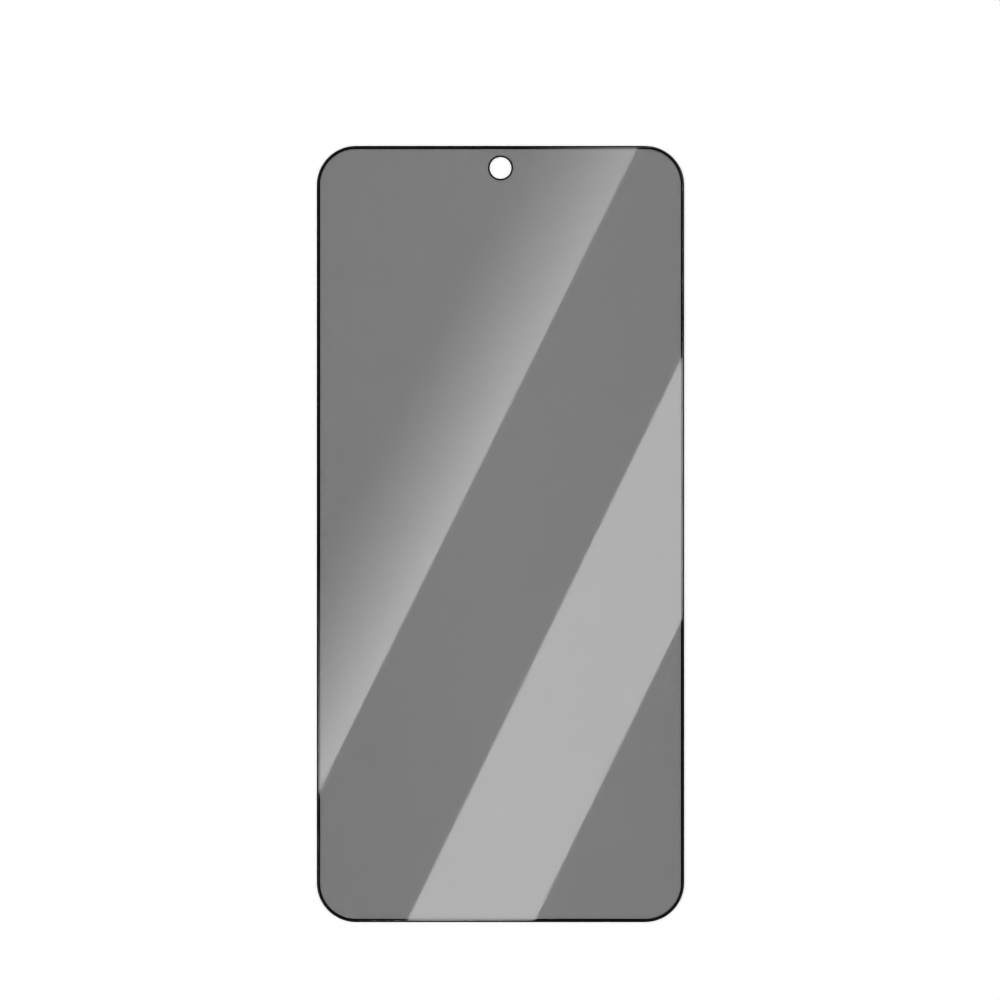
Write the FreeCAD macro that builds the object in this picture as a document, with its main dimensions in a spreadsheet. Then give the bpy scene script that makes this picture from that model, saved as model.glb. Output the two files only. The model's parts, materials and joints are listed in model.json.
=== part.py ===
# Phone privacy screen protector, lying on its adhesive back with the glass face up.
# X runs across the phone and Y along it, with the camera hole towards +Y. Z points out of the screen.
# The origin is the middle of the adhesive back. All sizes are in millimetres.
import FreeCAD
import Part
import math
import os
from enum import IntEnum

import Sketcher

# Driving dimensions: alias, value, what it is
SIZES = [
    ("glass_width", 72.0, "across the phone"),
    ("glass_length", 152.2, "along the phone"),
    ("corner_radius", 7.65, "outline corners of the glass"),
    ("glass_thickness", 0.33, "tempered cover glass"),
    ("edge_radius", 0.25, "arc ground on the front edge"),
    ("edge_drop", 0.15, "depth of that arc below the front face"),
    ("hole_diameter", 4.3, "camera hole through the glass"),
    ("hole_from_top", 4.3, "hole centre below the top edge"),
    ("hole_chamfer", 0.06, "bevel on the front rim of the hole"),
    ("border_width", 0.6, "printed black frame"),
    ("ring_width", 0.3, "printed black ring round the hole"),
    ("ink_thickness", 0.02, "both prints"),
    ("film_thickness", 0.17, "privacy film, up to the glass"),
    ("film_inset", 0.3, "film and adhesive edge inside the glass edge"),
    ("film_hole_clearance", 0.1, "film and adhesive hole round the glass hole, on the radius"),
    ("adhesive_thickness", 0.05, "silicone adhesive on the back"),
]
SIZE = {alias: value for alias, value, note in SIZES}


class At(IntEnum):
    """Sketcher's numbers for the points of an edge."""

    START = 1
    END = 2
    CENTRE = 3


class Axis(IntEnum):
    """Sketcher's numbers for the axes of a sketch. The X axis starts at the sketch's origin."""

    X = -1
    Y = -2


def make_sheet(doc):
    """Put the driving dimensions in a spreadsheet, one row each."""
    sheet = doc.addObject("Spreadsheet::Sheet", "Sizes")
    for row, (alias, value, note) in enumerate(SIZES, start=1):
        sheet.set(f"A{row}", alias)
        sheet.set(f"B{row}", str(value))
        sheet.set(f"C{row}", note)
        sheet.setAlias(f"B{row}", alias)
    doc.recompute()


def make_body(doc, label, height="0"):
    """Add a body whose back lies at the given height, an expression on the sheet."""
    body = doc.addObject("PartDesign::Body", label)
    body.Label = label
    body.setExpression(".Placement.Base.z", height)
    return body


def make_sketch(body, name, role="XY_Plane", height="0"):
    """Add a sketch on one of the body's origin planes, lifted along the plane's normal."""
    plane = next(p for p in body.Origin.OriginFeatures if p.Role == role)
    sketch = body.newObject("Sketcher::SketchObject", name)
    sketch.AttachmentSupport = (plane, [""])
    sketch.MapMode = "FlatFace"
    sketch.setExpression(".AttachmentOffset.Base.z", height)
    return sketch


def tie(sketch, *constraint):
    """Add a geometric constraint to a sketch."""
    sketch.addConstraint(Sketcher.Constraint(*constraint))


def dimension(sketch, name, expression, *constraint):
    """Add a dimension to a sketch and bind it to the sheet."""
    index = sketch.addConstraint(Sketcher.Constraint(*constraint))
    sketch.renameConstraint(index, name)
    sketch.setExpression(f"Constraints.{name}", expression)


def draw_outline(sketch, inset=None):
    """Draw the glass outline, straight sides and round corners, or one inside it by the named inset."""
    gap = SIZE[inset] if inset else 0.0
    gap_size = f"Sizes.{inset}" if inset else "0"
    radius = SIZE["corner_radius"] - gap
    side_x = SIZE["glass_width"] / 2 - gap
    side_y = SIZE["glass_length"] / 2 - gap
    corner_x = side_x - radius
    corner_y = side_y - radius
    vector = FreeCAD.Vector

    sides = [
        ((-corner_x, side_y), (corner_x, side_y)),
        ((side_x, corner_y), (side_x, -corner_y)),
        ((corner_x, -side_y), (-corner_x, -side_y)),
        ((-side_x, -corner_y), (-side_x, corner_y)),
    ]
    top, right, bottom, left = [
        sketch.addGeometry(Part.LineSegment(vector(*first), vector(*last))) for first, last in sides
    ]
    corners = [(corner_x, corner_y), (corner_x, -corner_y), (-corner_x, -corner_y), (-corner_x, corner_y)]
    arcs = []
    for turn, centre in enumerate(corners):
        circle = Part.Circle(vector(*centre), vector(0, 0, 1), radius)
        start = -turn * math.pi / 2
        arcs.append(sketch.addGeometry(Part.ArcOfCircle(circle, start, start + math.pi / 2)))

    # Each arc runs anticlockwise, from the side after its corner back to the side before it
    for arc, before, after in zip(arcs, (top, right, bottom, left), (right, bottom, left, top)):
        tie(sketch, "Tangent", before, At.END, arc, At.END)
        tie(sketch, "Tangent", after, At.START, arc, At.START)
    for arc in arcs[1:]:
        tie(sketch, "Equal", arcs[0], arc)
    for side in (top, bottom):
        tie(sketch, "Horizontal", side)
    for side in (left, right):
        tie(sketch, "Vertical", side)
    tie(sketch, "Symmetric", arcs[0], At.CENTRE, arcs[2], At.CENTRE, Axis.X, At.START)

    tag = inset or "glass"
    dimension(
        sketch, f"{tag}_across", f"Sizes.glass_width - 2 * {gap_size}",
        "DistanceX", left, At.END, right, At.START, 2 * side_x,
    )
    dimension(
        sketch, f"{tag}_along", f"Sizes.glass_length - 2 * {gap_size}",
        "DistanceY", bottom, At.START, top, At.END, 2 * side_y,
    )
    dimension(sketch, f"{tag}_corner", f"Sizes.corner_radius - {gap_size}", "Radius", arcs[0], radius)


def draw_hole(sketch, wider=None):
    """Draw the camera hole's circle, or one wider by the named amount on the radius."""
    radius = SIZE["hole_diameter"] / 2 + (SIZE[wider] if wider else 0.0)
    more = f" + Sizes.{wider}" if wider else ""
    height = SIZE["glass_length"] / 2 - SIZE["hole_from_top"]
    circle = sketch.addGeometry(Part.Circle(FreeCAD.Vector(0, height), FreeCAD.Vector(0, 0, 1), radius))
    tie(sketch, "PointOnObject", circle, At.CENTRE, Axis.Y)
    tag = wider or "hole"
    dimension(
        sketch, f"{tag}_place", "Sizes.glass_length / 2 - Sizes.hole_from_top",
        "DistanceY", Axis.X, At.START, circle, At.CENTRE, height,
    )
    dimension(sketch, f"{tag}_radius", f"Sizes.hole_diameter / 2{more}", "Radius", circle, radius)


def pad(body, name, sketch, length):
    """Raise a sketch into a solid of the given thickness, an expression on the sheet."""
    feature = body.newObject("PartDesign::Pad", name)
    feature.Profile = sketch
    feature.setExpression("Length", length)
    return feature


def make_glass(doc):
    """Tempered cover glass: a plate with a drilled camera hole and a front edge ground to an arc."""
    body = make_body(doc, "tempered_glass", "Sizes.adhesive_thickness + Sizes.film_thickness")
    outline = make_sketch(body, "glass_outline")
    draw_outline(outline)
    plate = pad(body, "glass_plate", outline, "Sizes.glass_thickness")

    circle = make_sketch(body, "camera_hole_circle")
    draw_hole(circle)
    hole = body.newObject("PartDesign::Pocket", "camera_hole")
    hole.Profile = circle
    hole.Type = "ThroughAll"
    hole.Reversed = True
    doc.recompute()
    require_cut(plate, hole)

    bevel = body.newObject("PartDesign::Chamfer", "camera_hole_bevel")
    bevel.Base = (hole, [front_rim(hole.Shape)])
    bevel.setExpression("Size", "Sizes.hole_chamfer")
    doc.recompute()
    require_cut(hole, bevel)

    edge = body.newObject("PartDesign::SubtractivePipe", "ground_edge")
    edge.Profile = draw_edge_section(body)
    edge.Spine = (outline, [""])
    doc.recompute()
    require_cut(bevel, edge)
    return body


def draw_edge_section(body):
    """Draw what is ground off the front edge: the corner outside an arc that leaves the face smoothly."""
    radius = SIZE["edge_radius"]
    drop = SIZE["edge_drop"]
    side = SIZE["glass_width"] / 2
    front = SIZE["glass_thickness"]
    run = math.sqrt(drop * (2 * radius - drop))
    sketch = make_sketch(body, "edge_section", "XZ_Plane")
    vector = FreeCAD.Vector

    centre = vector(side - run, front - radius)
    circle = Part.Circle(centre, vector(0, 0, 1), radius)
    arc = sketch.addGeometry(Part.ArcOfCircle(circle, math.asin(1 - drop / radius), math.pi / 2))
    corners = [
        vector(side - run, front),
        vector(side - run, front + drop),
        vector(side + drop, front + drop),
        vector(side + drop, front - drop),
        vector(side, front - drop),
    ]
    inner, over, outer, under = [
        sketch.addGeometry(Part.LineSegment(first, last)) for first, last in zip(corners, corners[1:])
    ]
    tie(sketch, "Coincident", arc, At.END, inner, At.START)
    for first, last in ((inner, over), (over, outer), (outer, under)):
        tie(sketch, "Coincident", first, At.END, last, At.START)
    tie(sketch, "Coincident", under, At.END, arc, At.START)
    tie(sketch, "Vertical", inner)
    tie(sketch, "Vertical", arc, At.CENTRE, inner, At.START)
    tie(sketch, "Horizontal", over)
    tie(sketch, "Vertical", outer)
    tie(sketch, "Horizontal", under)

    dimension(sketch, "arc_radius", "Sizes.edge_radius", "Radius", arc, radius)
    dimension(sketch, "face", "Sizes.glass_thickness", "DistanceY", Axis.X, At.START, arc, At.END, front)
    dimension(sketch, "depth", "Sizes.edge_drop", "DistanceY", arc, At.START, arc, At.END, drop)
    dimension(sketch, "wall", "Sizes.glass_width / 2", "DistanceX", Axis.X, At.START, arc, At.START, side)
    dimension(sketch, "clear_above", "Sizes.edge_drop", "DistanceY", inner, At.START, inner, At.END, drop)
    dimension(sketch, "clear_outside", "Sizes.edge_drop", "DistanceX", under, At.END, under, At.START, drop)
    return sketch


def front_rim(shape):
    """Name the camera hole's edge on the front face."""
    front = SIZE["glass_thickness"]
    radius = SIZE["hole_diameter"] / 2
    for index, edge in enumerate(shape.Edges, start=1):
        closed_circle = edge.Closed and isinstance(edge.Curve, Part.Circle)
        if closed_circle and math.isclose(edge.Curve.Radius, radius, rel_tol=1e-6):
            if math.isclose(edge.Curve.Center.z, front, rel_tol=1e-6):
                return f"Edge{index}"
    raise RuntimeError("the camera hole has no rim on the front face")


def make_border(doc):
    """Black frame, printed on the back of the glass right out to its edge."""
    body = make_body(
        doc, "black_border", "Sizes.adhesive_thickness + Sizes.film_thickness - Sizes.ink_thickness"
    )
    sketch = make_sketch(body, "border_print")
    draw_outline(sketch)
    draw_outline(sketch, "border_width")
    pad(body, "border_ink", sketch, "Sizes.ink_thickness")
    return body


def make_ring(doc):
    """Black ring, printed on the back of the glass round the camera hole."""
    body = make_body(
        doc, "camera_ring", "Sizes.adhesive_thickness + Sizes.film_thickness - Sizes.ink_thickness"
    )
    sketch = make_sketch(body, "ring_print")
    draw_hole(sketch)
    draw_hole(sketch, "ring_width")
    pad(body, "ring_ink", sketch, "Sizes.ink_thickness")
    return body


def make_film(doc):
    """Privacy film: it beds on the glass between the two prints, and laps under both of them."""
    body = make_body(doc, "privacy_film", "Sizes.adhesive_thickness")
    lap = make_sketch(body, "film_outline")
    draw_outline(lap, "film_inset")
    draw_hole(lap, "film_hole_clearance")
    pad(body, "film_sheet", lap, "Sizes.film_thickness - Sizes.ink_thickness")

    window = make_sketch(body, "film_window", height="Sizes.film_thickness - Sizes.ink_thickness")
    draw_outline(window, "border_width")
    draw_hole(window, "ring_width")
    pad(body, "film_bed", window, "Sizes.ink_thickness")
    return body


def make_adhesive(doc):
    """Clear silicone adhesive over the whole back of the film, cut out with it."""
    body = make_body(doc, "screen_adhesive")
    sketch = make_sketch(body, "adhesive_outline")
    draw_outline(sketch, "film_inset")
    draw_hole(sketch, "film_hole_clearance")
    pad(body, "adhesive_coat", sketch, "Sizes.adhesive_thickness")
    return body


def require_cut(before, after):
    """Stop if a cut took nothing off the solid before it."""
    if not after.Shape.Volume < before.Shape.Volume:
        raise RuntimeError(f"{after.Label} cuts nothing")


def check(doc, bodies):
    """Stop if any object failed, or a body isn't one valid solid."""
    for obj in doc.Objects:
        if "Invalid" in obj.State or "Error" in obj.State:
            raise RuntimeError(f"{obj.Label} failed: {obj.State}")
    for body in bodies:
        if body.Shape.isNull() or not body.Shape.isValid() or len(body.Shape.Solids) != 1:
            raise RuntimeError(f"{body.Label} is not one valid solid")


def main():
    """Build the protector and write one STEP file for each of its layers."""
    doc = FreeCAD.newDocument("screen_protector")
    make_sheet(doc)
    bodies = [make(doc) for make in (make_adhesive, make_film, make_border, make_ring, make_glass)]
    doc.recompute()
    check(doc, bodies)
    os.makedirs("parts", exist_ok=True)
    for body in bodies:
        body.Shape.exportStep(f"parts/{body.Label}.step")
        print(f"{body.Label}: {body.Shape.Volume:.3f} mm3")


main()
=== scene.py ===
"""Phone privacy screen protector, dressed as tempered glass, black print, louvred film and adhesive.

The protector lies on its adhesive back on a white table and is seen from straight above. Pieces are
modelled in millimetres and brought to metres when they are finished.
"""
import json
import logging
import math
from collections.abc import Callable, Iterator
from contextlib import contextmanager
from dataclasses import dataclass, field
from enum import Enum
from typing import Any

import bmesh
import bpy
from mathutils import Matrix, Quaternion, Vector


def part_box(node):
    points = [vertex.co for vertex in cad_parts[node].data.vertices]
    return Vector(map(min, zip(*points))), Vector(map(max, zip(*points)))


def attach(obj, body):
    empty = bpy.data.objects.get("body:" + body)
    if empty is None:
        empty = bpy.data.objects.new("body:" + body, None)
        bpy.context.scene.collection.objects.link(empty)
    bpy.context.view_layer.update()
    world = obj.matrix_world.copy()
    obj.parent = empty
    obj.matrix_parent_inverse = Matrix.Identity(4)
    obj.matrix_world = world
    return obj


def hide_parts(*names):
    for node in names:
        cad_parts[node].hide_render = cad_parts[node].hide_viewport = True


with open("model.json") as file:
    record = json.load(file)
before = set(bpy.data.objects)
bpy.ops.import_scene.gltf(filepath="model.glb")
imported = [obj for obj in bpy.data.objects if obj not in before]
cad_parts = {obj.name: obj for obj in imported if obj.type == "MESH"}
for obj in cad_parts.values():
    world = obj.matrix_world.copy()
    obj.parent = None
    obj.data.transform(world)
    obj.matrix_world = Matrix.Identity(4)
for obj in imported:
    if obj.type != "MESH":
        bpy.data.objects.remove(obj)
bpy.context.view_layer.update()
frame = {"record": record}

LOG = logging.getLogger("screen_protector")

MM = 0.001                  # one millimetre in Blender's metres
BODY = "root"               # the one rigid body that every layer rides on

CORNER_RADIUS = 7.65        # of the glass's outline, in millimetres
CORNER_SEGMENTS = 40        # facets round each outline corner
HOLE_SEGMENTS = 128         # facets round the camera hole
EDGE_SEGMENTS = 10          # facets across the ground front edge
ROUND_PROFILE = 0.5         # the bevel operator's value for a circular arc
CUT_MARGIN = 0.5            # how far a cutter stands out of what it cuts
BOND_GAP = 0.002            # keeps two bonded faces apart, so that no ray meets both at one point
PLACE_TOLERANCE = 1e-4      # for finding faces and edges by their place
SMOOTH_ANGLE = math.radians(30.0)
WHITE = "#FFFFFF"


class Node(Enum):
    """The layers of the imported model."""

    GLASS = "tempered_glass"
    BORDER = "black_border"
    RING = "camera_ring"
    FILM = "privacy_film"
    ADHESIVE = "screen_adhesive"


class Slot(Enum):
    """The record's material slots."""

    GLASS = "glass"
    INK = "ink"
    FILM = "film"
    ADHESIVE = "adhesive"


class Pick(Enum):
    """What a selection in edit mode picks."""

    EDGE = "EDGE"
    FACE = "FACE"


class Cut(Enum):
    """What a cutter leaves of a piece."""

    OUTSIDE = "DIFFERENCE"
    INSIDE = "INTERSECT"


class GlassFace(Enum):
    """The material slots of the cover glass."""

    POLISHED = 0
    BONDED = 1
    GROUND = 2


class Fade(Enum):
    """How a strip light's glow runs across its width."""

    EVEN = "even"
    GRADED = "graded"


@dataclass(frozen=True)
class Outline:
    """A rounded rectangle about the origin, in millimetres."""

    width: float
    length: float
    corner_radius: float

    def inside(self, inset: float) -> "Outline":
        """Give the parallel outline that lies inside this one by inset."""
        return Outline(self.width - 2 * inset, self.length - 2 * inset, self.corner_radius - inset)


@dataclass(frozen=True)
class CameraHole:
    """The round hole for the phone's front camera, in millimetres."""

    centre_y: float
    radius: float

    def wider(self, clearance: float) -> "CameraHole":
        """Give the hole that lies round this one by clearance."""
        return CameraHole(self.centre_y, self.radius + clearance)


@dataclass(frozen=True)
class Span:
    """A layer's lowest and highest level, in millimetres."""

    low: float
    high: float

    def under_bond(self) -> "Span":
        """Give the same levels with the upper face a bond's gap lower."""
        return Span(self.low, self.high - BOND_GAP)

    def padded(self, margin: float) -> "Span":
        """Give the levels that stand out of these by margin."""
        return Span(self.low - margin, self.high + margin)

    @property
    def middle(self) -> float:
        """Give the level halfway up."""
        return (self.low + self.high) / 2

    @property
    def thickness(self) -> float:
        """Give the distance from the lowest to the highest level."""
        return self.high - self.low


def span_of(node: Node) -> Span:
    """Read a packed layer's levels.

    Args:
        node: the layer.

    Returns:
        Its lowest and highest level in millimetres.
    """
    low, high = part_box(node.value)
    return Span(low[2] / MM, high[2] / MM)


def glass_outline() -> Outline:
    """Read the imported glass's outline, in millimetres."""
    low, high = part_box(Node.GLASS.value)
    return Outline((high[0] - low[0]) / MM, (high[1] - low[1]) / MM, CORNER_RADIUS)


def half_width(node: Node) -> float:
    """Read half of a packed layer's width, which is a ring's outer radius, in millimetres."""
    low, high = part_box(node.value)
    return (high[0] - low[0]) / 2 / MM


def packed_hole() -> CameraHole:
    """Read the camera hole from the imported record's mount, in millimetres."""
    mount = next(m for m in frame["record"]["mounts"] if m["name"] == "camera_hole")
    return CameraHole(mount["pos_m"][1] / MM, mount["dims"]["r_mm"])


def activate(piece: bpy.types.Object) -> None:
    """Select one piece alone and make it the active one.

    Args:
        piece: the piece.
    """
    bpy.ops.object.select_all(action="DESELECT")
    piece.select_set(True)
    bpy.context.view_layer.objects.active = piece


@contextmanager
def edit_mode(piece: bpy.types.Object) -> Iterator[None]:
    """Hold a piece in edit mode.

    Args:
        piece: the piece to edit.

    Returns:
        A context that leaves edit mode at its end.
    """
    activate(piece)
    bpy.ops.object.mode_set(mode="EDIT")
    yield
    bpy.ops.object.mode_set(mode="OBJECT")


def pick(kind: Pick, test: Callable[[Any], bool]) -> None:
    """Select only those edges or faces of the mesh in edit mode that pass a test.

    Args:
        kind: edges or faces.
        test: tells whether an edge or face belongs to the selection.
    """
    bpy.ops.mesh.select_mode(type=kind.value)
    bpy.ops.mesh.select_all(action="DESELECT")
    data = bpy.context.edit_object.data
    mesh = bmesh.from_edit_mesh(data)
    for element in mesh.edges if kind is Pick.EDGE else mesh.faces:
        if test(element):
            element.select_set(True)
    bmesh.update_edit_mesh(data)


def faces_at(level: float) -> Callable[[Any], bool]:
    """Make a test for the flat faces at a level.

    Args:
        level: their height in millimetres.

    Returns:
        A test for pick.
    """
    return lambda face: all(abs(vert.co.z - level) < PLACE_TOLERANCE for vert in face.verts)


def is_upright(edge: Any) -> bool:
    """Tell whether an edge stands along Z."""
    first, last = (vert.co for vert in edge.verts)
    return math.hypot(first.x - last.x, first.y - last.y) < PLACE_TOLERANCE


def block(name: str, width: float, length: float, span: Span, x: float = 0.0) -> bpy.types.Object:
    """Model a block as the start of a piece.

    Args:
        name: the piece's name.
        width: its size along X.
        length: its size along Y.
        span: its levels.
        x: where its middle lies along X.

    Returns:
        The block, in millimetres.
    """
    bpy.ops.object.select_all(action="DESELECT")
    bpy.ops.mesh.primitive_cube_add(
        size=1.0, location=(x, 0.0, span.middle), scale=(width, length, span.thickness)
    )
    piece = bpy.context.object
    piece.name = piece.data.name = name
    bpy.ops.object.transform_apply(location=True, rotation=True, scale=True)
    return piece


def disc(name: str, hole: CameraHole, span: Span) -> bpy.types.Object:
    """Model a disc that fills a hole, as the start of a ring or a drill.

    Args:
        name: the piece's name.
        hole: the hole's place and radius.
        span: the disc's levels.

    Returns:
        The disc, in millimetres.
    """
    bpy.ops.object.select_all(action="DESELECT")
    bpy.ops.mesh.primitive_cylinder_add(
        vertices=HOLE_SEGMENTS,
        radius=hole.radius,
        depth=span.thickness,
        location=(0.0, hole.centre_y, span.middle),
    )
    piece = bpy.context.object
    piece.name = piece.data.name = name
    bpy.ops.object.transform_apply(location=True, rotation=True, scale=True)
    return piece


def rounded_plate(name: str, outline: Outline, span: Span) -> bpy.types.Object:
    """Model a plate with round corners.

    Args:
        name: the piece's name.
        outline: its outline.
        span: its levels.

    Returns:
        The plate, in millimetres.
    """
    plate = block(name, outline.width, outline.length, span)
    with edit_mode(plate):
        pick(Pick.EDGE, is_upright)
        bpy.ops.mesh.bevel(
            offset=outline.corner_radius,
            segments=CORNER_SEGMENTS,
            profile=ROUND_PROFILE,
            affect="EDGES",
        )
    return plate


def combine(piece: bpy.types.Object, tool: bpy.types.Object, cut: Cut) -> None:
    """Cut or trim a piece with a tool, and throw the tool away.

    Args:
        piece: the piece to change.
        tool: a closed mesh.
        cut: what stays of the piece.
    """
    activate(piece)
    modifier = piece.modifiers.new("Cut", "BOOLEAN")
    modifier.operation = cut.value
    modifier.solver = "EXACT"
    modifier.object = tool
    bpy.ops.object.modifier_apply(modifier=modifier.name)
    bpy.data.objects.remove(tool, do_unlink=True)


def drill(plate: bpy.types.Object, hole: CameraHole, span: Span, bevel: float = 0.0) -> None:
    """Drill the camera hole through a stretch of a plate.

    Args:
        plate: the plate to cut.
        hole: the hole's place and radius.
        span: the levels that the drill passes between.
        bevel: the width of a 45 degree bevel that ends at the upper level.
    """
    top = span.high - bevel if bevel else span.high + CUT_MARGIN
    cutter = disc("drill", hole, Span(span.low, top))
    if bevel:
        flare = (hole.radius + 2 * bevel) / hole.radius
        with edit_mode(cutter):
            pick(Pick.FACE, faces_at(top))
            bpy.ops.mesh.extrude_region_move(TRANSFORM_OT_translate={"value": (0.0, 0.0, 2 * bevel)})
            bpy.ops.transform.resize(
                value=(flare, flare, 1.0), center_override=(0.0, hole.centre_y, top)
            )
    combine(plate, cutter, Cut.OUTSIDE)


def open_middle(piece: bpy.types.Object, span: Span, width: float) -> None:
    """Turn a plate into a frame by opening its middle.

    Args:
        piece: the plate.
        span: its levels.
        width: the frame's width.
    """
    lower, upper = faces_at(span.low), faces_at(span.high)
    with edit_mode(piece):
        pick(Pick.FACE, lambda face: lower(face) or upper(face))
        bpy.ops.mesh.inset(thickness=width, depth=0.0)
        bpy.ops.mesh.bridge_edge_loops()


def hand_over(
    piece: bpy.types.Object, materials: list[bpy.types.Material], node: Node | None = None
) -> bpy.types.Object:
    """Bring a finished piece to metres, smooth and dress it, and put it on its body.

    Args:
        piece: the piece, in millimetres.
        materials: its materials, in slot order.
        node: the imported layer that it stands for, if it stands for one.

    Returns:
        The piece.
    """
    activate(piece)
    piece.scale = (MM, MM, MM)
    bpy.ops.object.transform_apply(location=True, rotation=True, scale=True)
    bpy.ops.object.shade_smooth_by_angle(angle=SMOOTH_ANGLE)
    for material in materials:
        piece.data.materials.append(material)
    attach(piece, BODY)
    if node is not None:
        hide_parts(node.value)
    return piece


def let_light_through(piece: bpy.types.Object) -> None:
    """Keep a piece from shading what it lies on: the film's tint stands for the light that it takes."""
    piece.visible_shadow = False
    piece.visible_diffuse = False


def linear(hex_colour: str) -> tuple[float, float, float, float]:
    """Turn an sRGB hex colour into linear light, by the standard's curve.

    Args:
        hex_colour: six hex digits after a hash sign.

    Returns:
        Red, green, blue and an alpha of 1.
    """
    shares = [int(hex_colour[i:i + 2], 16) / 255 for i in (1, 3, 5)]
    red, green, blue = [s / 12.92 if s <= 0.04045 else ((s + 0.055) / 1.055) ** 2.4 for s in shares]
    return red, green, blue, 1.0


def add_node(
    tree: bpy.types.NodeTree,
    kind: str,
    settings: dict[str, Any] | None = None,
    values: dict[Any, Any] | None = None,
    links: dict[Any, bpy.types.NodeSocket] | None = None,
) -> bpy.types.Node:
    """Add a shader node.

    Args:
        tree: the tree that it joins.
        kind: the node's type name.
        settings: its properties.
        values: its sockets' plain values.
        links: the output that feeds each linked socket.

    Returns:
        The node.
    """
    node = tree.nodes.new(kind)
    for name, value in (settings or {}).items():
        setattr(node, name, value)
    for socket, value in (values or {}).items():
        node.inputs[socket].default_value = value
    for socket, source in (links or {}).items():
        tree.links.new(source, node.inputs[socket])
    return node


def new_material(name: str) -> tuple[bpy.types.Material, bpy.types.NodeTree]:
    """Start a material with an empty node tree.

    Args:
        name: the real material's name.

    Returns:
        The material and its tree.
    """
    material = bpy.data.materials.new(name)
    material.use_nodes = True
    material.node_tree.nodes.clear()
    return material, material.node_tree


@dataclass(frozen=True)
class TemperedGlass:
    """Aluminosilicate glass, drawn, tempered and polished.

    It is clear with a trace of green, and mirrors lamps sharply. The coating on its face is faintly
    patchy, too little to blur the edge of a lamp.
    """

    name: str = "Tempered glass, polished"
    tint: str = "#FCFDFD"
    ior: float = 1.51
    low_roughness: float = 0.006
    high_roughness: float = 0.02
    patch_mm: float = 16.0
    patch_detail: float = 3.0
    patch_contrast: float = 0.55

    def material(self) -> bpy.types.Material:
        """Make the glass.

        Returns:
            The material.
        """
        material, tree = new_material(self.name)
        place = add_node(tree, "ShaderNodeTexCoord")
        patches = add_node(
            tree,
            "ShaderNodeTexNoise",
            values={
                "Scale": 1 / (self.patch_mm * MM),
                "Detail": self.patch_detail,
                "Roughness": self.patch_contrast,
            },
            links={"Vector": place.outputs["Object"]},
        )
        roughness = add_node(
            tree,
            "ShaderNodeMapRange",
            values={"To Min": self.low_roughness, "To Max": self.high_roughness},
            links={"Value": patches.outputs["Fac"]},
        )
        surface = add_node(
            tree,
            "ShaderNodeBsdfPrincipled",
            values={"Base Color": linear(self.tint), "IOR": self.ior, "Transmission Weight": 1.0},
            links={"Roughness": roughness.outputs["Result"]},
        )
        add_node(tree, "ShaderNodeOutputMaterial", links={"Surface": surface.outputs["BSDF"]})
        return material


@dataclass(frozen=True)
class GroundGlass(TemperedGlass):
    """The same glass where a wheel has ground it: the front edge, the sides and the hole.

    The wheel's grit leaves it finely matt, so it takes the light as a soft line and mirrors nothing
    sharply. The grit's marks are drawn coarser than real ones, so that they show in a close view. The
    index is set below the polished face's, because the real edge stays dark.
    """

    name: str = "Tempered glass, ground"
    ior: float = 1.38
    low_roughness: float = 0.3
    high_roughness: float = 0.4
    patch_mm: float = 0.08


@dataclass(frozen=True)
class OpticalBond:
    """The back of the glass where ink and film are bonded to it: light passes with no reflection."""

    tint: str = WHITE

    def material(self) -> bpy.types.Material:
        """Make the bonded face.

        Returns:
            The material.
        """
        material, tree = new_material("Optical bond, clear")
        surface = add_node(tree, "ShaderNodeBsdfTransparent", values={"Color": linear(self.tint)})
        add_node(tree, "ShaderNodeOutputMaterial", links={"Surface": surface.outputs["BSDF"]})
        return material


@dataclass(frozen=True)
class PrintedInk:
    """Black ink, screen printed on the glass and baked.

    It is a dense, dull black, with the slight unevenness that the screen's mesh leaves in the coat. The
    mesh is drawn coarser than a real one, so that it shows in a close view. The ink has no gloss of its
    own, because the glass in front of it is bonded to it.
    """

    thin: str = "#131313"
    dense: str = "#0B0B0B"
    roughness: float = 0.55
    mesh_mm: float = 0.25
    mesh_detail: float = 2.0
    relief_mm: float = 0.004
    relief_strength: float = 0.4

    def material(self) -> bpy.types.Material:
        """Make the ink.

        Returns:
            The material.
        """
        material, tree = new_material("Screen-printed black ink")
        place = add_node(tree, "ShaderNodeTexCoord")
        coat = add_node(
            tree,
            "ShaderNodeTexNoise",
            values={"Scale": 1 / (self.mesh_mm * MM), "Detail": self.mesh_detail},
            links={"Vector": place.outputs["Object"]},
        )
        colour = add_node(
            tree,
            "ShaderNodeMix",
            settings={"data_type": "RGBA"},
            values={"A": linear(self.dense), "B": linear(self.thin)},
            links={"Factor": coat.outputs["Fac"]},
        )
        relief = add_node(
            tree,
            "ShaderNodeBump",
            values={"Strength": self.relief_strength, "Distance": self.relief_mm * MM},
            links={"Height": coat.outputs["Fac"]},
        )
        surface = add_node(
            tree,
            "ShaderNodeBsdfPrincipled",
            values={"Roughness": self.roughness, "Specular IOR Level": 0.0},
            links={"Base Color": colour.outputs["Result"], "Normal": relief.outputs["Normal"]},
        )
        add_node(tree, "ShaderNodeOutputMaterial", links={"Surface": surface.outputs["BSDF"]})
        return material


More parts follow.
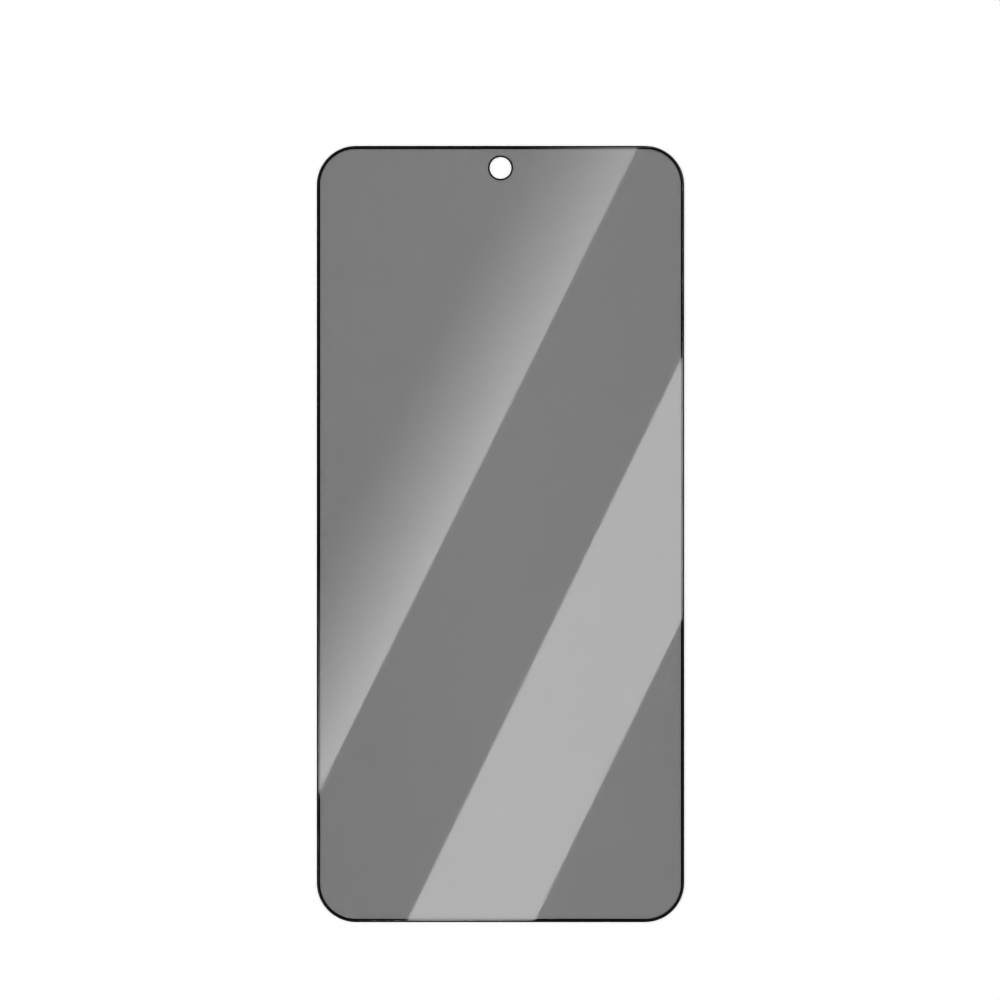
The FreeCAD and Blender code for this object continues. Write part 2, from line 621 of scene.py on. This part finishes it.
@dataclass(frozen=True)
class PolyesterFilm:
    """Grey-tinted polyester, cast as a sheet and drawn lengthwise, which carries the louvres.

    It dims what lies behind it, partly by its own grey tint and partly as painted shade that stands for
    the shadow that the louvres and the glass don't cast. It has faint streaks in its dye along the draw,
    and no gloss of its own, because the glass is bonded to it.
    """

    dark: str = "#000000"
    light: str = "#060606"
    density: float = 0.351      # the share of light that one face holds back: partly the dye's tint, partly painted shade for the louvres' and glass's missing shadow
    roughness: float = 0.45
    streak_mm: float = 1.6
    streak_detail: float = 2.0
    draw: float = 0.1           # a streak's width over its length

    def material(self) -> bpy.types.Material:
        """Make the film.

        Returns:
            The material.
        """
        material, tree = new_material("Polyester privacy film, grey")
        place = add_node(tree, "ShaderNodeTexCoord")
        drawn = add_node(
            tree,
            "ShaderNodeMapping",
            values={"Scale": (1.0, self.draw, 1.0)},
            links={"Vector": place.outputs["Object"]},
        )
        grain = add_node(
            tree,
            "ShaderNodeTexNoise",
            values={"Scale": 1 / (self.streak_mm * MM), "Detail": self.streak_detail},
            links={"Vector": drawn.outputs["Vector"]},
        )
        dye = add_node(
            tree,
            "ShaderNodeMix",
            settings={"data_type": "RGBA"},
            values={"A": linear(self.dark), "B": linear(self.light)},
            links={"Factor": grain.outputs["Fac"]},
        )
        surface = add_node(
            tree,
            "ShaderNodeBsdfPrincipled",
            values={"Alpha": self.density, "Roughness": self.roughness, "Specular IOR Level": 0.0},
            links={"Base Color": dye.outputs["Result"]},
        )
        add_node(tree, "ShaderNodeOutputMaterial", links={"Surface": surface.outputs["BSDF"]})
        return material


@dataclass(frozen=True)
class LouvreResin:
    """Carbon-black resin cast into the film's slits: dull black, and slightly uneven along its length."""

    light: str = "#0C0C0C"
    dark: str = "#050505"
    roughness: float = 0.7
    gloss: float = 0.2
    run_mm: float = 3.0
    run_detail: float = 1.0

    def material(self) -> bpy.types.Material:
        """Make the louvres' resin.

        Returns:
            The material.
        """
        material, tree = new_material("Carbon-black louvre resin")
        place = add_node(tree, "ShaderNodeTexCoord")
        run = add_node(
            tree,
            "ShaderNodeTexNoise",
            values={"Scale": 1 / (self.run_mm * MM), "Detail": self.run_detail},
            links={"Vector": place.outputs["Object"]},
        )
        colour = add_node(
            tree,
            "ShaderNodeMix",
            settings={"data_type": "RGBA"},
            values={"A": linear(self.dark), "B": linear(self.light)},
            links={"Factor": run.outputs["Fac"]},
        )
        surface = add_node(
            tree,
            "ShaderNodeBsdfPrincipled",
            values={"Roughness": self.roughness, "Specular IOR Level": self.gloss},
            links={"Base Color": colour.outputs["Result"]},
        )
        add_node(tree, "ShaderNodeOutputMaterial", links={"Surface": surface.outputs["BSDF"]})
        return material


@dataclass(frozen=True)
class SiliconeAdhesive:
    """Clear silicone gel, coated on the film's back: almost invisible, with a soft wet sheen."""

    tint: str = "#F4F4F2"
    body: float = 0.03          # the share of light that one face scatters
    smooth_roughness: float = 0.2
    tacky_roughness: float = 0.45
    ripple_mm: float = 2.5
    ripple_detail: float = 2.0

    def material(self) -> bpy.types.Material:
        """Make the adhesive.

        Returns:
            The material.
        """
        material, tree = new_material("Silicone adhesive, clear")
        place = add_node(tree, "ShaderNodeTexCoord")
        ripple = add_node(
            tree,
            "ShaderNodeTexNoise",
            values={"Scale": 1 / (self.ripple_mm * MM), "Detail": self.ripple_detail},
            links={"Vector": place.outputs["Object"]},
        )
        roughness = add_node(
            tree,
            "ShaderNodeMapRange",
            values={"To Min": self.smooth_roughness, "To Max": self.tacky_roughness},
            links={"Value": ripple.outputs["Fac"]},
        )
        surface = add_node(
            tree,
            "ShaderNodeBsdfPrincipled",
            values={"Base Color": linear(self.tint), "Alpha": self.body},
            links={"Roughness": roughness.outputs["Result"]},
        )
        add_node(tree, "ShaderNodeOutputMaterial", links={"Surface": surface.outputs["BSDF"]})
        return material


@dataclass(frozen=True)
class WhiteCard:
    """White card, calendered and dull: it scatters the lamps evenly and mirrors nothing.

    A lift makes it white to the eye and in the glass, and puts no more light on the protector.
    """

    colour: str = "#F4F4F4"
    roughness: float = 0.9
    gloss: float = 0.1
    lift: float = 0.24

    def material(self) -> bpy.types.Material:
        """Make the card.

        Returns:
            The material.
        """
        material, tree = new_material("White card")
        paths = add_node(tree, "ShaderNodeLightPath")
        seen = add_node(
            tree,
            "ShaderNodeMath",
            settings={"operation": "MAXIMUM"},
            links={0: paths.outputs["Is Camera Ray"], 1: paths.outputs["Is Transmission Ray"]},
        )
        shown = add_node(
            tree,
            "ShaderNodeMath",
            settings={"operation": "MAXIMUM"},
            links={0: seen.outputs["Value"], 1: paths.outputs["Is Glossy Ray"]},
        )
        lift = add_node(
            tree,
            "ShaderNodeMath",
            settings={"operation": "MULTIPLY"},
            values={1: self.lift},
            links={0: shown.outputs["Value"]},
        )
        surface = add_node(
            tree,
            "ShaderNodeBsdfPrincipled",
            values={
                "Base Color": linear(self.colour),
                "Roughness": self.roughness,
                "Specular IOR Level": self.gloss,
                "Emission Color": linear(WHITE),
            },
            links={"Emission Strength": lift.outputs["Value"]},
        )
        add_node(tree, "ShaderNodeOutputMaterial", links={"Surface": surface.outputs["BSDF"]})
        material.cycles.emission_sampling = "NONE"
        return material


@dataclass
class CoverGlass:
    """The tempered glass: a plate with a ground front edge and a bevelled camera hole."""

    outline: Outline
    hole: CameraHole
    edge_radius: float = 0.25
    edge_drop: float = 0.15
    hole_bevel: float = 0.06
    support_width: float = 0.05     # the face's outermost strip, which keeps its shading flat
    flat: float = 0.9999            # the least upright share of a flat face's normal
    polished: TemperedGlass = field(default_factory=TemperedGlass)
    bond: OpticalBond = field(default_factory=OpticalBond)
    ground: GroundGlass = field(default_factory=GroundGlass)

    def build(self) -> list[bpy.types.Object]:
        """Model and dress the glass.

        Returns:
            The glass, as a list of one.
        """
        span = span_of(Node.GLASS)
        shoulder = span.high - self.edge_drop
        pane = rounded_plate("cover_glass", self.outline, Span(span.low, shoulder))
        self.grind_edge(pane, shoulder)
        drill(pane, self.hole, Span(span.low - CUT_MARGIN, span.high), self.hole_bevel)
        finishes = [self.polished.material(), self.bond.material(), self.ground.material()]
        hand_over(pane, finishes, Node.GLASS)
        self.dress_faces(pane)
        let_light_through(pane)
        return [pane]

    def grind_edge(self, pane: bpy.types.Object, shoulder: float) -> None:
        """Raise the front of the plate along an arc that ends level with the face.

        Args:
            pane: the plate, as high as its shoulder.
            shoulder: the level where the arc starts.
        """
        steepest = math.acos(1 - self.edge_drop / self.edge_radius)
        angles = [steepest * (1 - step / EDGE_SEGMENTS) for step in range(EDGE_SEGMENTS + 1)]
        with edit_mode(pane):
            pick(Pick.FACE, faces_at(shoulder))
            for lower, upper in zip(angles, angles[1:]):
                inward = self.edge_radius * (math.sin(lower) - math.sin(upper))
                rise = self.edge_radius * (math.cos(upper) - math.cos(lower))
                bpy.ops.mesh.inset(thickness=inward, depth=rise)
            bpy.ops.mesh.inset(thickness=self.support_width, depth=0.0)

    def dress_faces(self, pane: bpy.types.Object) -> None:
        """Give the back face the bond's material slot, and the edges and the hole the ground glass's.

        Args:
            pane: the finished glass.
        """
        for polygon in pane.data.polygons:
            if polygon.normal.z < -self.flat:
                polygon.material_index = GlassFace.BONDED.value
            elif polygon.normal.z < self.flat:
                polygon.material_index = GlassFace.GROUND.value


@dataclass
class BlackPrint:
    """The ink on the back of the glass: a frame round the edge and a ring round the camera hole."""

    outline: Outline
    hole: CameraHole
    ring_width: float
    border_width: float = 0.6
    ink: PrintedInk = field(default_factory=PrintedInk)

    def build(self) -> list[bpy.types.Object]:
        """Model and dress both prints.

        Returns:
            The frame and the ring.
        """
        ink = self.ink.material()
        return [
            hand_over(self.border(), [ink], Node.BORDER),
            hand_over(self.ring(), [ink], Node.RING),
        ]

    def border(self) -> bpy.types.Object:
        """Model the frame.

        Returns:
            The frame, in millimetres.
        """
        span = span_of(Node.BORDER).under_bond()
        border = rounded_plate("border_print", self.outline, span)
        open_middle(border, span, self.border_width)
        return border

    def ring(self) -> bpy.types.Object:
        """Model the ring.

        Returns:
            The ring, in millimetres.
        """
        span = span_of(Node.RING).under_bond()
        ring = disc("camera_ring_print", self.hole.wider(self.ring_width), span)
        open_middle(ring, span, self.ring_width)
        return ring


@dataclass
class PrivacyFilm:
    """The film behind the glass and the upright louvres inside it, which shut off a view from the side.

    The film beds on the glass between the prints and laps under them. The louvres run along the phone.
    """

    outline: Outline
    hole: CameraHole
    border_width: float
    ring_width: float
    inset: float
    hole_clearance: float = 0.1
    louvre_pitch: float = 0.05
    louvre_width: float = 0.004
    louvre_cover: float = 0.015     # the film above and below the louvres
    louvre_margin: float = 0.1      # the film beside them, at the outline and at the hole
    polyester: PolyesterFilm = field(default_factory=PolyesterFilm)
    resin: LouvreResin = field(default_factory=LouvreResin)

    def build(self) -> list[bpy.types.Object]:
        """Model and dress the film and its louvres.

        Returns:
            The louvres and the film.
        """
        lap = Span(span_of(Node.FILM).low, span_of(Node.BORDER).low).under_bond()
        louvres = hand_over(self.louvres(lap), [self.resin.material()])
        let_light_through(louvres)
        sheet = hand_over(self.sheet(lap), [self.polyester.material()], Node.FILM)
        return [louvres, sheet]

    def sheet(self, lap: Span) -> bpy.types.Object:
        """Model the film.

        Args:
            lap: the levels of the part that laps under the prints.

        Returns:
            The film, in millimetres.
        """
        span = span_of(Node.FILM).under_bond()
        sheet = rounded_plate("film_sheet", self.outline.inside(self.inset), lap)
        with edit_mode(sheet):
            pick(Pick.FACE, faces_at(lap.high))
            bpy.ops.mesh.inset(thickness=self.border_width - self.inset + BOND_GAP, depth=0.0)
            bpy.ops.mesh.extrude_region_move(
                TRANSFORM_OT_translate={"value": (0.0, 0.0, span.high - lap.high)}
            )
        drill(sheet, self.hole.wider(self.hole_clearance), Span(span.low - CUT_MARGIN, span.high))
        drill(sheet, self.hole.wider(self.ring_width + BOND_GAP), Span(lap.high, span.high))
        return sheet

    def louvres(self, lap: Span) -> bpy.types.Object:
        """Model one louvre, repeat it across the film and trim the row to the film's outline.

        Args:
            lap: the levels that the louvres lie between.

        Returns:
            The louvres, in millimetres.
        """
        span = lap.padded(-self.louvre_cover)
        field_outline = self.outline.inside(self.inset + self.louvre_margin)
        count = round(field_outline.width / self.louvre_pitch)
        first = -(count - 1) * self.louvre_pitch / 2
        louvres = block("micro_louvres", self.louvre_width, self.outline.length, span, first)
        row = louvres.modifiers.new("Row", "ARRAY")
        row.count = count
        row.use_relative_offset = False
        row.use_constant_offset = True
        row.constant_offset_displace = (self.louvre_pitch, 0.0, 0.0)
        bpy.ops.object.modifier_apply(modifier=row.name)
        around = span.padded(CUT_MARGIN)
        trim = rounded_plate("louvre_trim", field_outline, around)
        clear = self.hole.wider(self.hole_clearance + self.louvre_margin)
        drill(trim, clear, Span(around.low - CUT_MARGIN, around.high))
        combine(louvres, trim, Cut.INSIDE)
        return louvres


@dataclass
class AdhesiveCoat:
    """The adhesive on the film's back."""

    outline: Outline
    hole: CameraHole
    inset: float
    hole_clearance: float
    silicone: SiliconeAdhesive = field(default_factory=SiliconeAdhesive)

    def build(self) -> list[bpy.types.Object]:
        """Model and dress the adhesive.

        Returns:
            The adhesive, as a list of one.
        """
        span = span_of(Node.ADHESIVE).under_bond()
        coat = rounded_plate("adhesive_coat", self.outline.inside(self.inset), span)
        drill(coat, self.hole.wider(self.hole_clearance), Span(span.low - CUT_MARGIN, span.high))
        return [hand_over(coat, [self.silicone.material()], Node.ADHESIVE)]


@dataclass(frozen=True)
class CopyStand:
    """The camera, straight above the protector, with the camera hole at the top of the image.

    Lengths are in millimetres, and places in the image in pixels of the photograph.
    """

    glass_width: float
    front: float
    lens: float = 180.0
    sensor: float = 36.0
    image_px: float = 1000.0
    glass_width_px: float = 367.15
    glass_centre_px: tuple[float, float] = (500.5, 534.0)
    nearest: float = 10.0

    @property
    def pixel(self) -> float:
        """Give the size of one of the photograph's pixels on the glass."""
        return self.glass_width / self.glass_width_px

    @property
    def aim(self) -> tuple[float, float]:
        """Give the point of the glass at the middle of the image."""
        middle = self.image_px / 2
        column, row = self.glass_centre_px
        return (middle - column) * self.pixel, (row - middle) * self.pixel

    @property
    def distance(self) -> float:
        """Give the camera's distance from the glass."""
        return self.image_px * self.pixel * self.lens / self.sensor

    def build(self) -> None:
        """Hang the camera and make it the scene's."""
        data = bpy.data.cameras.new("Copy stand")
        data.lens = self.lens
        data.sensor_width = self.sensor
        data.clip_start = self.nearest * MM
        camera = bpy.data.objects.new("copy_stand", data)
        camera.location = (self.aim[0] * MM, self.aim[1] * MM, (self.front + self.distance) * MM)
        bpy.context.collection.objects.link(camera)
        bpy.context.scene.camera = camera


@dataclass(frozen=True)
class StripLight:
    """A strip light above the camera, sized by the slanting streak that the glass mirrors.

    Its edge, width and length are the streak's, in millimetres on the glass.
    """

    name: str
    edge: float                 # the right edge's distance from the middle of the glass
    width: float
    slant: float                # degrees from the phone's width
    radiance: float             # at the right edge, halfway along
    fade: Fade
    length: float = 230.0
    height: float = 1300.0      # above the glass, in millimetres
    falloff: float = 1.6        # how steeply a graded strip dims towards its left edge
    foot: float = 1.27          # a graded strip's share of its radiance at its lower end
    head: float = 0.73          # and at its upper end

    def hang(self, stand: CopyStand) -> None:
        """Hang the strip where the glass mirrors it into the camera.

        Args:
            stand: the camera that sees the reflection.
        """
        spread = 1 + self.height / stand.distance
        turn = math.radians(self.slant - 90.0)
        middle = self.edge - self.width / 2
        on_glass = (middle * math.cos(turn), middle * math.sin(turn))
        place = [a + (p - a) * spread for a, p in zip(stand.aim, on_glass)]
        bpy.ops.object.select_all(action="DESELECT")
        bpy.ops.mesh.primitive_plane_add(
            size=1.0,
            location=(place[0] * MM, place[1] * MM, (stand.front + self.height) * MM),
            rotation=(0.0, 0.0, turn),
        )
        strip = bpy.context.object
        strip.name = self.name
        strip.scale = (self.width * spread * MM, self.length * spread * MM, 1.0)
        strip.data.materials.append(self.diffuser())

    def diffuser(self) -> bpy.types.Material:
        """Make the strip's glow, even or graded across its width and along its length.

        Returns:
            The material, whose Object coordinates run from -0.5 to 0.5 over the strip.
        """
        material, tree = new_material(f"Glow of {self.name}")
        light = add_node(tree, "ShaderNodeEmission", values={"Strength": self.radiance})
        if self.fade is Fade.GRADED:
            place = add_node(tree, "ShaderNodeTexCoord")
            axes = add_node(tree, "ShaderNodeSeparateXYZ", links={"Vector": place.outputs["Object"]})
            across = add_node(
                tree,
                "ShaderNodeMath",
                settings={"operation": "ADD", "use_clamp": True},
                values={1: 0.5},
                links={0: axes.outputs["X"]},
            )
            graded = add_node(
                tree,
                "ShaderNodeMath",
                settings={"operation": "POWER"},
                values={1: self.falloff},
                links={0: across.outputs["Value"]},
            )
            along = add_node(
                tree,
                "ShaderNodeMapRange",
                settings={"clamp": False},
                values={"From Min": -0.5, "From Max": 0.5, "To Min": self.foot, "To Max": self.head},
                links={"Value": axes.outputs["Y"]},
            )
            share = add_node(
                tree,
                "ShaderNodeMath",
                settings={"operation": "MULTIPLY"},
                links={0: graded.outputs["Value"], 1: along.outputs["Result"]},
            )
            strength = add_node(
                tree,
                "ShaderNodeMath",
                settings={"operation": "MULTIPLY"},
                values={1: self.radiance},
                links={0: share.outputs["Value"]},
            )
            tree.links.new(strength.outputs["Value"], light.inputs["Strength"])
        add_node(tree, "ShaderNodeOutputMaterial", links={"Surface": light.outputs["Emission"]})
        return material


@dataclass(frozen=True)
class SoftBox:
    """A tall, slanting lamp that points at the protector, in metres, degrees and watts."""

    name: str
    bearing: float              # degrees from the phone's width
    power: float
    reach: float = 1.06         # how far off it stands
    height: float = 0.9
    width: float = 0.4
    length: float = 1.3
    slant: float = 25.0

    def hang(self) -> None:
        """Hang the lamp off a corner of the protector, where the straight edges don't mirror it."""
        data = bpy.data.lights.new(self.name, "AREA")
        data.shape = "RECTANGLE"
        data.size = self.width
        data.size_y = self.length
        data.energy = self.power
        lamp = bpy.data.objects.new(self.name, data)
        bearing = math.radians(self.bearing)
        lamp.location = (self.reach * math.cos(bearing), self.reach * math.sin(bearing), self.height)
        slant = Quaternion((0.0, 0.0, 1.0), math.radians(self.slant))
        lamp.rotation_euler = (lamp.location.to_track_quat("Z", "Y") @ slant).to_euler()
        bpy.context.collection.objects.link(lamp)


@dataclass(frozen=True)
class LightTent:
    """A tent of slanting panels, white low down and dark where the camera hangs.

    The camera sees it as plain white. A level is the upward share of a direction: 0 at the horizon
    and 1 straight above.
    """

    white_level: float = 0.1
    dark_level: float = 0.85
    dark: float = 0.08          # the light from above the dark level
    panels_scale: float = 1.5
    seam_start: float = 0.42    # where a dim panel begins to turn into a bright one
    seam_end: float = 0.58
    dim: float = 0.2            # a dim panel's share of the light

    def build(self) -> None:
        """Put the tent round the scene as its world."""
        world = bpy.data.worlds.new("Light tent")
        world.use_nodes = True
        tree = world.node_tree
        tree.nodes.clear()
        direction = add_node(tree, "ShaderNodeTexCoord")
        axes = add_node(tree, "ShaderNodeSeparateXYZ", links={"Vector": direction.outputs["Generated"]})
        height = add_node(
            tree,
            "ShaderNodeMapRange",
            settings={"interpolation_type": "SMOOTHSTEP"},
            values={
                "From Min": self.white_level,
                "From Max": self.dark_level,
                "To Min": 1.0,
                "To Max": self.dark,
            },
            links={"Value": axes.outputs["Z"]},
        )
        slant = add_node(
            tree,
            "ShaderNodeTexWave",
            settings={"bands_direction": "DIAGONAL"},
            values={"Scale": self.panels_scale},
            links={"Vector": direction.outputs["Generated"]},
        )
        panels = add_node(
            tree,
            "ShaderNodeMapRange",
            settings={"interpolation_type": "SMOOTHSTEP"},
            values={
                "From Min": self.seam_start,
                "From Max": self.seam_end,
                "To Min": self.dim,
                "To Max": 1.0,
            },
            links={"Value": slant.outputs["Fac"]},
        )
        lit = add_node(
            tree,
            "ShaderNodeMath",
            settings={"operation": "MULTIPLY"},
            links={0: height.outputs["Result"], 1: panels.outputs["Result"]},
        )
        paths = add_node(tree, "ShaderNodeLightPath")
        strength = add_node(
            tree,
            "ShaderNodeMath",
            settings={"operation": "MAXIMUM"},
            links={0: lit.outputs["Value"], 1: paths.outputs["Is Camera Ray"]},
        )
        light = add_node(
            tree,
            "ShaderNodeBackground",
            values={"Color": linear(WHITE)},
            links={"Strength": strength.outputs["Value"]},
        )
        add_node(tree, "ShaderNodeOutputWorld", links={"Surface": light.outputs["Background"]})
        bpy.context.scene.world = world


@dataclass
class Studio:
    """The white table, the light tent, the lamps that the glass mirrors, and the camera."""

    stand: CopyStand
    card: WhiteCard = field(default_factory=WhiteCard)
    tent: LightTent = field(default_factory=LightTent)
    table_size: float = 6.0         # in metres
    table_gap: float = 0.01         # below the protector, in millimetres
    clear_layers: int = 24          # how many clear faces a ray may pass
    soft_boxes: tuple[SoftBox, ...] = (
        SoftBox("back_box", 53.0, 5.0),
        SoftBox("key_box", 143.0, 6.6),
        SoftBox("front_box", 233.0, 5.0),
        SoftBox("fill_box", 323.0, 5.0),
    )
    strips: tuple[StripLight, ...] = (
        StripLight("left_strip", -9.5, 21.6, 63.7, 5.3, Fade.GRADED),
        StripLight("right_strip", 39.3, 22.5, 64.0, 5.9, Fade.EVEN),
    )

    def build(self) -> None:
        """Set up the table, lights and camera."""
        self.lay_table()
        self.tent.build()
        for soft_box in self.soft_boxes:
            soft_box.hang()
        for strip in self.strips:
            strip.hang(self.stand)
        self.stand.build()
        self.set_image()

    def lay_table(self) -> None:
        """Lay a large white table under the protector."""
        bpy.ops.object.select_all(action="DESELECT")
        bpy.ops.mesh.primitive_plane_add(size=self.table_size, location=(0.0, 0.0, -self.table_gap * MM))
        table = bpy.context.object
        table.name = "white_table"
        table.data.materials.append(self.card.material())

    def set_image(self) -> None:
        """Show colours as they are written, keep thin dark edges dark, and keep reflections clean.

        The denoiser works from the picture alone, because its colour and normal guides are too noisy
        behind clear glass and mark the reflections.
        """
        scene = bpy.context.scene
        scene.view_settings.view_transform = "Standard"
        scene.cycles.transparent_max_bounces = self.clear_layers
        scene.cycles.pixel_filter_type = "BOX"
        scene.cycles.denoising_input_passes = "RGB"


def main() -> None:
    """Build and report the layers from the front to the back, then set up the studio."""
    logging.basicConfig(level=logging.INFO, format="%(message)s")
    outline = glass_outline()
    hole = packed_hole()
    glass = CoverGlass(outline, hole)
    black = BlackPrint(outline, hole, half_width(Node.RING) - hole.radius)
    film_inset = half_width(Node.GLASS) - half_width(Node.FILM)
    film = PrivacyFilm(outline, hole, black.border_width, black.ring_width, film_inset)
    adhesive = AdhesiveCoat(outline, hole, film.inset, film.hole_clearance)
    for layer in (glass, black, film, adhesive):
        for piece in layer.build():
            LOG.info("%s: %d faces", piece.name, len(piece.data.polygons))
    Studio(CopyStand(outline.width, span_of(Node.GLASS).high)).build()


if __name__ == "__main__":
    main()
